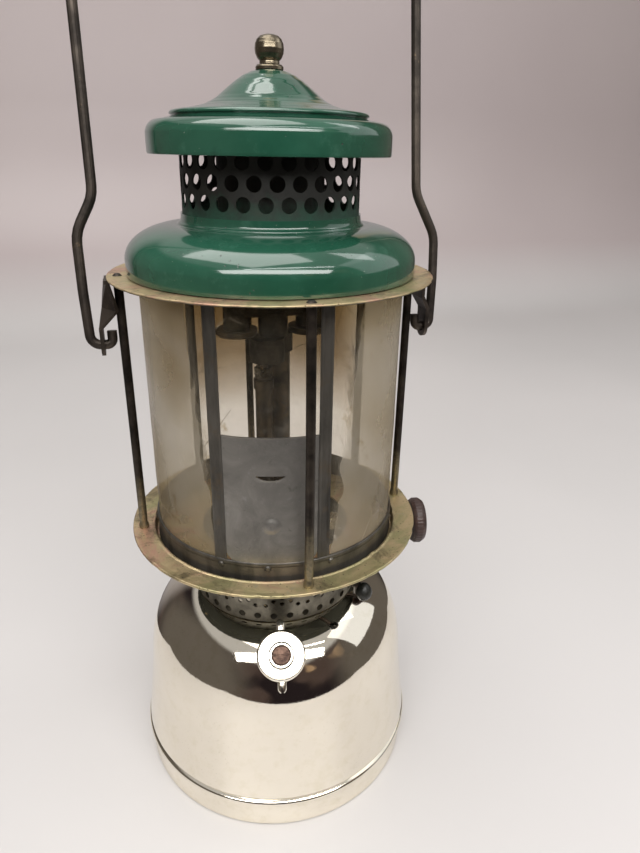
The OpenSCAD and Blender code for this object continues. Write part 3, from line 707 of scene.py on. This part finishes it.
SLOT_FINISH = {
    "nickel": NICKEL, "brass": BRASS, "plate_patina": PATINA, "screen_nickel": SCREEN,
    "dark_steel": STEEL, "burner_iron": IRON, "ceramic": HEATED, "globe_steel": BAND,
    "panel_aluminium": PANEL, "mica": MICA, "green_enamel": ENAMEL, "burnt_enamel": BURNT,
    "brown_plastic": RESIN, "screw_brown": SCREW, "black_plastic": BLACK, "seal": SEAL,
    "leather": LEATHER, "needle_steel": WIRE,
}
NODE_FINISH = {"frame_rods": ROD, "generator_tube": HEATED, "air_tube": HEATED, "globe_rivets": BAND}


def finish_cad_nodes():
    """Gives every carried-over CAD node the finish of its record slot."""
    for row in frame["record"]["subparts"]:
        node = frame["nodes"][row["node"]]
        finish = NODE_FINISH.get(row["node"], SLOT_FINISH[row["material_slot"]])
        node.data.materials.clear()
        node.data.materials.append(finish)
        node.data.shade_smooth()
        node.data.set_sharp_from_angle(angle=math.radians(28))


# ---- Fount ----

def fount_wall():
    """Drawn nickel tank: leaning wall, a shoulder without creases and a flat neck."""
    bead_top = high("base_band")
    line = [p for p in silhouette(outside_points("fount_shell")) if p.y > bead_top - 0.1 * MM]
    line = [p for i, p in enumerate(line) if p.x > max([q.x for q in line[i:]]) - 0.02 * MM]
    foot, neck = line[0], line[-1]
    lean = (line[1] - foot).normalized()
    knee = [p for p in line if abs(lean.cross(p - foot)) < 0.08 * MM][-1]
    wide, tall = knee.x - neck.x, neck.y - knee.y
    start = foot.lerp(knee, 0.72)
    t0 = math.radians(24)
    on = Vector((neck.x + wide * math.cos(t0), knee.y + tall * math.sin(t0)))
    outline = [Vector((foot.x - 0.9 * MM, low("fount_shell"))), Vector((foot.x - 0.9 * MM, bead_top))]
    outline += [foot, foot.lerp(knee, 0.3), foot.lerp(knee, 0.55)]
    outline += blend_line(start, knee - foot, on, Vector((-wide * math.sin(t0), tall * math.cos(t0))))
    for i in range(1, 45):
        t = t0 + (math.pi / 2 - t0) * i / 44
        outline.append(Vector((neck.x + wide * math.cos(t), knee.y + tall * math.sin(t))))
    outline += [Vector((6 * MM, neck.y)), Vector((6 * MM, neck.y - 0.8 * MM)),
                Vector((20 * MM, neck.y - 1.5 * MM)), Vector((foot.x - 3 * MM, low("fount_shell")))]
    verts, faces = lathe_mesh([tuple(p) for p in outline], 320)
    piece("fount_wall", verts, faces, NICKEL, "lantern_body", ["fount_shell"], 30)


def foot_band():
    """Base band with a rolled lower edge and a half-round bead between two fine grooves."""
    r, top, bottom = reach("base_band"), high("base_band"), low("base_band")
    wall = r - 1.25 * MM
    bead = top - 3 * MM
    outline = [(wall - 1.2 * MM, bottom + 0.5 * MM), (wall - 0.9 * MM, bottom)]
    outline += arc((wall - 0.8 * MM, bottom + 0.7 * MM), 0.7 * MM, -90, 20, 5)
    outline += [(wall - 0.35 * MM, bottom + 2.2 * MM), (wall - 0.1 * MM, bead - 3.4 * MM),
                (wall - 0.05 * MM, bead - 2.5 * MM), (wall - 0.35 * MM, bead - 2.1 * MM)]
    outline += arc((r - 1.55 * MM, bead), 1.55 * MM, -62, 58, 12)
    outline += [(wall - 0.55 * MM, top - 1.1 * MM), (wall - 0.35 * MM, top - 0.6 * MM),
                (wall - 0.25 * MM, top), (wall - 1.2 * MM, top)]
    verts, faces = lathe_mesh(outline, 320)
    piece("foot_band", verts, faces, FOOT, "lantern_body", ["base_band"], 50)


# ---- Frame ----

def dented(depth, nick, keep_below):
    """A wobble for sheet rims: gentle waves downward and small nicks inward."""
    def move(p):
        if p.z < keep_below:
            return Vector((0, 0, 0))
        wave = 0.5 + 0.5 * rough(p, 38)
        chip = max(0.0, rough(p + Vector((9, 3, 1)), 210) - 0.18) * 2.4
        inward = Vector((-p.x, -p.y, 0)).normalized()
        return Vector((0, 0, -depth * wave)) + inward * (nick * min(1.0, chip))
    return move


def lower_plate():
    """Dished plate with a recess for the globe and a turned-down, nicked rim."""
    rim, top, floor_z = reach("lower_plate"), high("lower_plate"), low("globe_mica")
    hole = min(math.hypot(p.x, p.y) for p in points_of("lower_plate"))
    seat = reach("globe_lower_band") + 0.9 * MM
    sheet = floor_z - low("lower_plate")
    outline = rounded([
        (hole, floor_z - sheet), (seat - 0.3 * MM, floor_z - sheet, 0.8 * MM),
        (seat + 1.1 * MM, top - sheet, 0.9 * MM), (rim - 1.4 * MM, top - sheet, 0.5 * MM),
        (rim - 0.8 * MM, top - 1.3 * MM, 0.2 * MM), (rim, top - 1.3 * MM, 0.3 * MM),
        (rim, top - 0.1 * MM, 0.7 * MM), (rim - 2.4 * MM, top - 0.35 * MM, 1.0 * MM),
        (seat + 2.0 * MM, top - 0.35 * MM, 0.8 * MM),
        (seat + 1.2 * MM, top, 0.5 * MM), (seat + 0.5 * MM, top - 0.2 * MM, 0.4 * MM),
        (seat, floor_z + 0.2 * MM, 0.5 * MM), (seat - 2 * MM, floor_z, 0.5 * MM), (hole, floor_z)])
    verts, faces = lathe_mesh(outline, 300, wobble=dented(0.16 * MM, 0.45 * MM, floor_z + 1.2 * MM))
    piece("dished_plate", verts, faces, PATINA, "lantern_body", ["lower_plate"])


def upper_plate():
    """Flat ring under the ventilator, a little wavy, with a burred edge."""
    outer, top, bottom = reach("upper_plate"), high("upper_plate"), low("upper_plate")
    inner = min(math.hypot(p.x, p.y) for p in points_of("upper_plate"))
    outline = rounded([
        (inner, bottom), (outer - 0.3 * MM, bottom, 0.2 * MM), (outer, bottom + 0.3 * MM, 0.2 * MM),
        (outer, top - 0.2 * MM, 0.3 * MM), (outer - 1.2 * MM, top, 0.4 * MM),
        (outer - 2.6 * MM, top - 0.15 * MM, 0.6 * MM), (inner, top - 0.15 * MM)], 3)
    verts, faces = lathe_mesh(outline, 300, wobble=dented(0.02 * MM, 0.35 * MM, bottom))
    piece("upper_ring", verts, faces, PATINA, "lantern_body", ["upper_plate"])


def rod_girth():
    """Rod radius in mm by height: a peened foot, a crushed collar, the plain rod and a peened head."""
    bottom, top = low("frame_rods"), high("frame_rods")
    foot, head = high("lower_plate"), high("upper_plate")
    return [(bottom, 0.9), (bottom + 0.5 * MM, 1.9), (foot - 0.9 * MM, 2.15),
            (foot, 2.0), (foot + 0.7 * MM, 2.12), (foot + 1.5 * MM, 1.95), (foot + 2.3 * MM, 1.5),
            (foot + 3.2 * MM, 1.62), (foot + 4.5 * MM, 1.72), (head - 1.5 * MM, 1.72),
            (head, 2.0), (head + 0.3 * MM, 1.95), (top, 1.0)]


def frame_rods():
    """Four steel rods with crushed collars at their feet, each very slightly bowed."""
    along = [p.x for p in points_of("frame_rods") if abs(p.y) < 4 * MM and p.x > 0]
    ring = (min(along) + max(along)) / 2
    bottom, top = low("frame_rods"), high("frame_rods")
    girth = rod_girth()
    verts, faces = [], []
    for i in range(4):
        line = []
        for k in range(121):
            t = k / 120
            sway = 0.22 * MM * math.sin(math.pi * t) * (1, -0.7, 0.6, -1)[i]
            line.append(around(90 * i, ring, bottom + (top - bottom) * t) + around(90 * i + 90, sway))
        rod = sweep_mesh(line, lambda t: MM * between(girth, bottom + (top - bottom) * t), 24,
                         Vector((0, 1, 0)))
        verts, faces = merged((verts, faces), rod)
    piece("bowed_rods", verts, faces, ROD, "lantern_body", ["frame_rods"], 50)


# ---- Globe ----

def globe_band(node, name):
    """Sheet ring with a half-round bead pressed along both edges."""
    r, foot, top = reach(node), low(node), high(node)
    inner = r - 0.8 * MM
    flat = r - 0.32 * MM
    size = top - foot
    edge = min(1.9 * MM, 0.3 * size)
    outline = rounded([
        (inner, foot), (flat, foot, 0.2 * MM), (r, foot + 0.3 * edge, 0.4 * MM),
        (r, foot + 0.75 * edge, 0.4 * MM), (flat, foot + 1.2 * edge, 0.5 * MM),
        (flat, top - 1.2 * edge, 0.5 * MM), (r, top - 0.75 * edge, 0.4 * MM),
        (r, top - 0.25 * edge, 0.4 * MM), (flat, top, 0.2 * MM), (inner, top)], 4)
    verts, faces = lathe_mesh(outline, 256, wobble=lambda p: Vector((-p.x, -p.y, 0)) * (
        0.0022 * (0.5 + 0.5 * rough(p, 60))))
    piece(name, verts, faces, BAND, "lantern_body", [node])


def globe_strips():
    """Channel strips whose edges are folded over the mica."""
    r, foot, top = reach("globe_mica"), low("globe_strips"), high("globe_strips")
    verts, faces = [], []
    for mid, half in azimuth_groups("globe_strips"):
        def bulge(u, v):
            edge = ramp(abs(u - 0.5), 0.26, 0.36)
            return MM * (0.28 * edge + 0.05 * rough((mid, 3 * u, 9 * v), 1.0))
        verts, faces = merged((verts, faces), curved_sheet(
            mid - half, mid + half, foot, top, r + 0.36 * MM, 0.3 * MM, 17, 60, bulge))
    piece("channel_strips", verts, faces, BAND, "lantern_body", ["globe_strips"])


def panel_shape(width, height):
    """Relief of the metal panel: a folded top lip, a lipped slot and a round dimple."""
    def bulge(u, v):
        x, z = (u - 0.5) * width, v * height
        lip = 0.85 * ramp(v, 0.985, 1.0)
        dimple = 0.75 * ramp(3.9 * MM - math.hypot(x, z - 0.31 * height), 0.0, 2.6 * MM)
        slot_lip = 0.6 * ramp(5.6 * MM - abs(x), 0, 4 * MM) * ramp(z, 0.66 * height, 0.695 * height)
        slot_lip *= 1 - ramp(z, 0.697 * height, 0.70 * height)
        return MM * (lip + dimple + slot_lip + 0.10 * rough((5 * u, 7 * v, 2), 1.0))
    return bulge


def globe_panel():
    """Aluminium panel of the globe with its curved slot and rounded lower corners."""
    (mid, half), = azimuth_groups("globe_panel")
    foot, top = low("globe_panel"), high("globe_panel")
    r = reach("globe_mica")
    width, height = math.radians(2 * half) * r, top - foot
    columns, rows = 121, 181

    def keep(c, row):
        x = ((c + 0.5) / (columns - 1) - 0.5) * width
        z = (row + 0.5) / (rows - 1) * height
        arch = 1.5 * MM * (1 - (x / (5.4 * MM)) ** 2)
        slot = abs(x) < 5.4 * MM and 0.70 * height - arch < z < 0.705 * height
        corner = math.hypot(max(0.0, abs(x) - width / 2 + 4 * MM), max(0.0, 4 * MM - z)) > 4 * MM
        return not slot and not corner

    verts, faces = curved_sheet(mid - half, mid + half, foot, top, r + 0.4 * MM, 0.35 * MM,
                                columns, rows, panel_shape(width, height), keep)
    piece("pressed_panel", verts, faces, PANEL, "lantern_body", ["globe_panel"])


def globe_mica():
    """One long mica sheet round the globe, wrinkled, with a torn lower edge beside the left strip."""
    r, foot, top = reach("globe_mica"), low("globe_mica"), high("globe_mica")
    seam = azimuth_groups("globe_strips")[1][0]
    band = high("globe_lower_band")
    columns, rows = 421, 111

    def bulge(u, v):
        p = around(360 * u, 1, 0)
        fold = abs(rough((3.1 * p.x, 3.1 * p.y, 2.2 * v), 1.0)) ** 0.7
        crumple = rough((14 * p.x, 14 * p.y, 9 * v), 1.0)
        return -MM * (0.05 + 0.45 * fold + 0.10 * abs(crumple))

    def keep(c, row):
        az = 360 * (c + 0.5) / (columns - 1)
        z = foot + (row + 0.5) / (rows - 1) * (top - foot)
        torn = band + MM * (0.2 + 3.4 * abs(rough((az * 0.11, 3, 1), 1.0)) * ramp(az, 330, 348))
        return not (318 < az < 357 and z < torn)

    verts, faces = curved_sheet(seam, seam + 360, foot, top, r, 0.18 * MM, columns, rows, bulge, keep)
    piece("mica_sheet", verts, faces, MICA, "lantern_body", ["globe_mica"])


# ---- Ventilator ----

def enamel_shell(node, name, foot_roll):
    """A pressed, enamelled shell after the CAD outline, with a rolled lower edge."""
    line = spaced(silhouette(outside_points(node)), 0.35 * MM)
    r, z = line[0]
    outer = [Vector((r - foot_roll, z)), Vector((r - 0.25 * foot_roll, z + 0.12 * foot_roll))]
    outer += smooth_line([Vector((r, z + 0.9 * foot_roll))] + line[1:], 7)
    outline = [(max(0.0, p[0]), p[1]) for p in sheet_outline(outer, -0.8 * MM)]
    verts, faces = lathe_mesh(outline, 320)
    piece(name, verts, faces, ENAMEL, "ventilator", [node], 50)


def vent_hood():
    enamel_shell("vent_hood", "enamel_hood", 0.9 * MM)


def vent_cap():
    enamel_shell("vent_cap", "enamel_cap", 0.8 * MM)


def ball_nut():
    """Turned finial with a stepped foot and a flattened ball."""
    line = silhouette(points_of("ball_nut"))
    foot, ball = line[:4], smooth_line(line[4:], 6)
    line = [Vector((0, line[0].y))] + foot + ball
    outline = [(max(0.0, p[0]), p[1]) for p in line] + [(0, ball[-1][1])]
    verts, faces = lathe_mesh(outline, 128, closed=False)
    piece("turned_finial", verts, faces, BRASS, "finial_nut", ["ball_nut"], 30)


# ---- Controls and cap ----

def filler_cap():
    """Plated cap: a turned disc with a raised boss and two cast wings, up and down the slope."""
    pose = boss("filler_cap_turn")
    local = [pose.inverted() @ p for p in points_of("filler_cap")]
    top, foot = max(p.z for p in local), min(p.z for p in local)
    wing = max(abs(p.y) for p in local)
    r, neck, under = 0.712 * wing, 0.42 * wing, top - 3.1 * MM
    disc = rounded([(0, under), (r - 0.5 * MM, under, 0.4 * MM), (r, top - 2.4 * MM, 0.4 * MM),
                    (r, top - 1.3 * MM, 0.5 * MM), (r - 0.7 * MM, top - 0.55 * MM, 0.5 * MM),
                    (5.2 * MM, top - 0.38 * MM, 0.5 * MM), (4.7 * MM, top, 0.3 * MM), (0, top)])
    thread = rounded([(0, foot), (neck, foot, 0.3 * MM), (neck, under), (0, under)])
    steps = ((r - 1.5 * MM, 2.3 * MM), (r + 1 * MM, 2.3 * MM), (wing - 1 * MM, 2.5 * MM), (wing, 2.6 * MM))
    arms = []
    for side in (-1, 1):
        line = [Vector((0, side * out, top - drop)) for out, drop in steps]
        bar, arm_faces = sweep_mesh(line, lambda t: MM * between([(0, 1), (0.9, 1), (1, 0.55)], t), 20,
                                    Vector((1, 0, 0)))
        arms.append(([Vector((p.x * 1.75, p.y, p.z)) for p in bar], arm_faces))
    body = merged(lathe_mesh(disc, 128, closed=False), lathe_mesh(thread, 64, closed=False), *arms)
    piece("winged_cap", placed(body[0], pose), body[1], CAP_NICKEL, "filler_cap",
          ["filler_cap"], 34)


def valve_wheel():
    """Moulded wheel with a rounded, finely ribbed rim and a dished face."""
    pose = boss("valve_turn")
    local = [pose.inverted() @ p for p in points_of("valve_wheel")]
    line = silhouette(local)
    foot, face = line[0].y, line[-1].y
    r = max(p.x for p in line)
    hub = min(math.hypot(p.x, p.y) for p in local)
    outline = rounded([(hub, foot), (r - 1.2 * MM, foot, 0.6 * MM),
                       (r - 0.1 * MM, foot + 1.4 * MM, 1.0 * MM),
                       (r, face - 2.0 * MM, 1.2 * MM), (r - 1.4 * MM, face, 0.9 * MM),
                       (6.9 * MM, face - 0.1 * MM, 0.8 * MM), (5.6 * MM, face - 1.4 * MM, 0.6 * MM),
                       (hub, face - 1.4 * MM)])

    def ribs(p):
        groove = 0.5 + 0.5 * math.cos(40 * math.atan2(p.y, p.x))
        return Vector((-p.x, -p.y, 0)) * (0.012 * ramp(math.hypot(p.x, p.y), 0.85 * r, r) * groove)

    verts, faces = lathe_mesh(outline, 360, wobble=ribs)
    piece("moulded_wheel", placed(verts, pose), faces, RESIN, "valve", ["valve_wheel"], 50)


def lever_paddle():
    """Glossy drop-shaped paddle at the end of the cleaner lever."""
    lo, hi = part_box("lever_knob")
    centre, half = (lo + hi) / 2, (hi - lo) / 2
    verts, rings, sides = [], 26, 40
    for i in range(rings + 1):
        t = i / rings
        wide = math.sin(math.pi * min(0.999, max(0.001, t))) ** 0.62 * (1.0 - 0.16 * t)
        for k in range(sides):
            a = TAU * k / sides
            verts.append(centre + Vector((half.x * wide * math.cos(a), half.y * wide * math.sin(a),
                                          half.z * (2 * t - 1))))
    faces = tube_faces(rings + 1, sides)
    piece("lever_paddle", verts, faces, BLACK, "cleaner_lever", ["lever_knob"], 60)


def soften_cad_edges():
    """A small round on the sharp edges of the CAD parts that are shown as they are."""
    for node in ("ear_left", "ear_right", "air_screw", "wheel_screw", "packing_nut", "valve_body",
                 "jam_nut", "fount_collar", "burner_caps", "burner_manifold", "burner_bridge",
                 "pump_cap", "pump_knob"):
        edge = frame["nodes"][node].modifiers.new("edges", "BEVEL")
        edge.width = 0.22 * MM
        edge.segments = 2
        edge.limit_method = "ANGLE"
        edge.angle_limit = math.radians(40)
        edge.use_clamp_overlap = True


# ---- Stage ----

def stage():
    """Pale floor that curves up into a plain backdrop; polished metal mirrors its near part only."""
    paint = floor_paint()
    near = [Vector((x * w, y, 0)) for y, w in ((-0.24, 0.3), (0.12, 0.36)) for x in (-1, 1)]
    stage_sheet("floor", near, paint)
    front, depth, rise, bend, width, below = -1.3, 1.1, 1.6, 0.35, 1.6, -0.02 * MM
    line = [(front, below), (0.0, below)]
    line += arc((depth - bend, below + bend), bend, -90, 0, 10)
    line += [(depth, rise)]
    far = [Vector((x, y, z)) for y, z in line for x in (-width, width)]
    stage_sheet("backdrop", far, paint).visible_glossy = False


def stage_sheet(name, verts, paint):
    """A strip of floor: verts come in pairs, left and right, from front to back."""
    faces = [(i, i + 1, i + 3, i + 2) for i in range(0, len(verts) - 2, 2)]
    mesh = bpy.data.meshes.new(name)
    mesh.from_pydata(verts, [], faces)
    mesh.shade_smooth()
    mesh.materials.append(paint)
    sheet = bpy.data.objects.new(name, mesh)
    bpy.context.scene.collection.objects.link(sheet)
    return sheet


def area_light(name, place, target, size, power, colour=(1, 1, 1)):
    data = bpy.data.lights.new(name, "AREA")
    data.shape = "RECTANGLE"
    data.size, data.size_y = size
    data.energy = power
    data.color = colour
    lamp = bpy.data.objects.new(name, data)
    lamp.location = place
    lamp.rotation_euler = (Vector(target) - Vector(place)).to_track_quat("-Z", "Y").to_euler()
    bpy.context.scene.collection.objects.link(lamp)


def lights():
    """A soft overhead bank, a narrow strip for the enamel's highlight and a bright patch by the camera."""
    area_light("bank", (-0.25, 0.0, 1.45), (0, 0.1, 0.1), (1.3, 1.0), 19, (1, 0.985, 0.96))
    area_light("strip", (0.05, -0.75, 1.15), (0, 0, 0.2), (1.3, 0.022), 2.5)
    area_light("front", (-0.09, -0.60, 0.66), (0, -0.05, 0.09), (1.15, 0.20), 7.5, (1, 0.99, 0.97))
    area_light("side", (1.0, -0.15, 0.75), (0, 0, 0.15), (0.9, 0.9), 3.0, (0.96, 0.98, 1))
    area_light("wall", (0.9, 0.1, 1.3), (0.8, 1.1, 0.6), (0.6, 0.6), 4.0)
    world_light()


def world_light():
    """Pale room above and behind, over a dim, brownish zone that only the polished metal mirrors."""
    world = bpy.data.worlds.new("studio")
    bpy.context.scene.world = world
    world.use_nodes = True
    sky = Nodes(world.node_tree, "Generated")

    def fade(value, a, b):
        return sky.level(value, a, b, curve="SMOOTHSTEP")

    way = sky.node("ShaderNodeSeparateXYZ", Vector=sky.place).outputs
    patches = sky.noise(1.35, 2.0, 0.45)
    aside = sky.combine("ABSOLUTE", way["X"], 0)
    rim = sky.node("ShaderNodeMath", {"operation": "MULTIPLY_ADD"})
    for socket, value in zip(rim.inputs, (aside, -0.35, way["Z"])):
        sky.feed(socket, value)
    low_down = fade(rim.outputs[0], 0.47, 0.36)
    not_behind = fade(way["Y"], 0.92, 0.75)
    room = sky.mix(fade(way["Z"], 0.0, 0.8), (0.58, 0.53, 0.52), (0.80, 0.775, 0.75))
    dim = sky.mix(fade(patches, 0.42, 0.56), (0.030, 0.022, 0.024), (0.12, 0.085, 0.075))
    dim = sky.mix(fade(patches, 0.62, 0.65), dim, (0.62, 0.42, 0.26))
    dim = sky.mix(fade(aside, 0.45, 0.85), dim, (0.20, 0.175, 0.15))
    seen = sky.mix(sky.combine("MULTIPLY", not_behind, low_down), room, dim)
    plain = sky.node("ShaderNodeLightPath").outputs["Is Camera Ray"]
    back = sky.tree.nodes["Background"].inputs
    sky.feed(back["Color"], sky.mix(plain, seen, (0.66, 0.61, 0.60)))
    back["Strength"].default_value = 0.85


def camera():
    """A phone-like view from above the front, a little to the left of the bail's square-on view."""
    data = bpy.data.cameras.new("camera")
    data.lens = 27.0
    data.sensor_width = 36.0
    turn = math.radians(-12.0)
    pitch, roll, yaw = (math.radians(a) for a in (23.43, 1.0, 4.45))
    place = Vector((0, -0.256, 0.2764))
    ahead = Vector((math.sin(yaw) * math.cos(pitch), math.cos(yaw) * math.cos(pitch), -math.sin(pitch)))
    right = Vector((math.cos(yaw), -math.sin(yaw), 0))
    up = right.cross(ahead)
    tilted_right = right * math.cos(roll) + up * math.sin(roll)
    tilted_up = up * math.cos(roll) - right * math.sin(roll)
    pose = Matrix((tilted_right, tilted_up, -ahead)).transposed().to_4x4()
    pose.translation = place
    cam = bpy.data.objects.new("camera", data)
    bpy.context.scene.collection.objects.link(cam)
    cam.matrix_world = Matrix.Rotation(turn, 4, "Z") @ pose
    bpy.context.scene.camera = cam
    bpy.context.scene.view_settings.view_transform = "Standard"
    bpy.context.scene.view_settings.exposure = -0.45


stage()
lights()
camera()
finish_cad_nodes()
soften_cad_edges()
fount_wall()
foot_band()
lower_plate()
upper_plate()
frame_rods()
globe_band("globe_lower_band", "lower_band")
globe_band("globe_upper_band", "upper_band")
globe_strips()
globe_panel()
globe_mica()
vent_hood()
vent_cap()
ball_nut()
filler_cap()
valve_wheel()
lever_paddle()
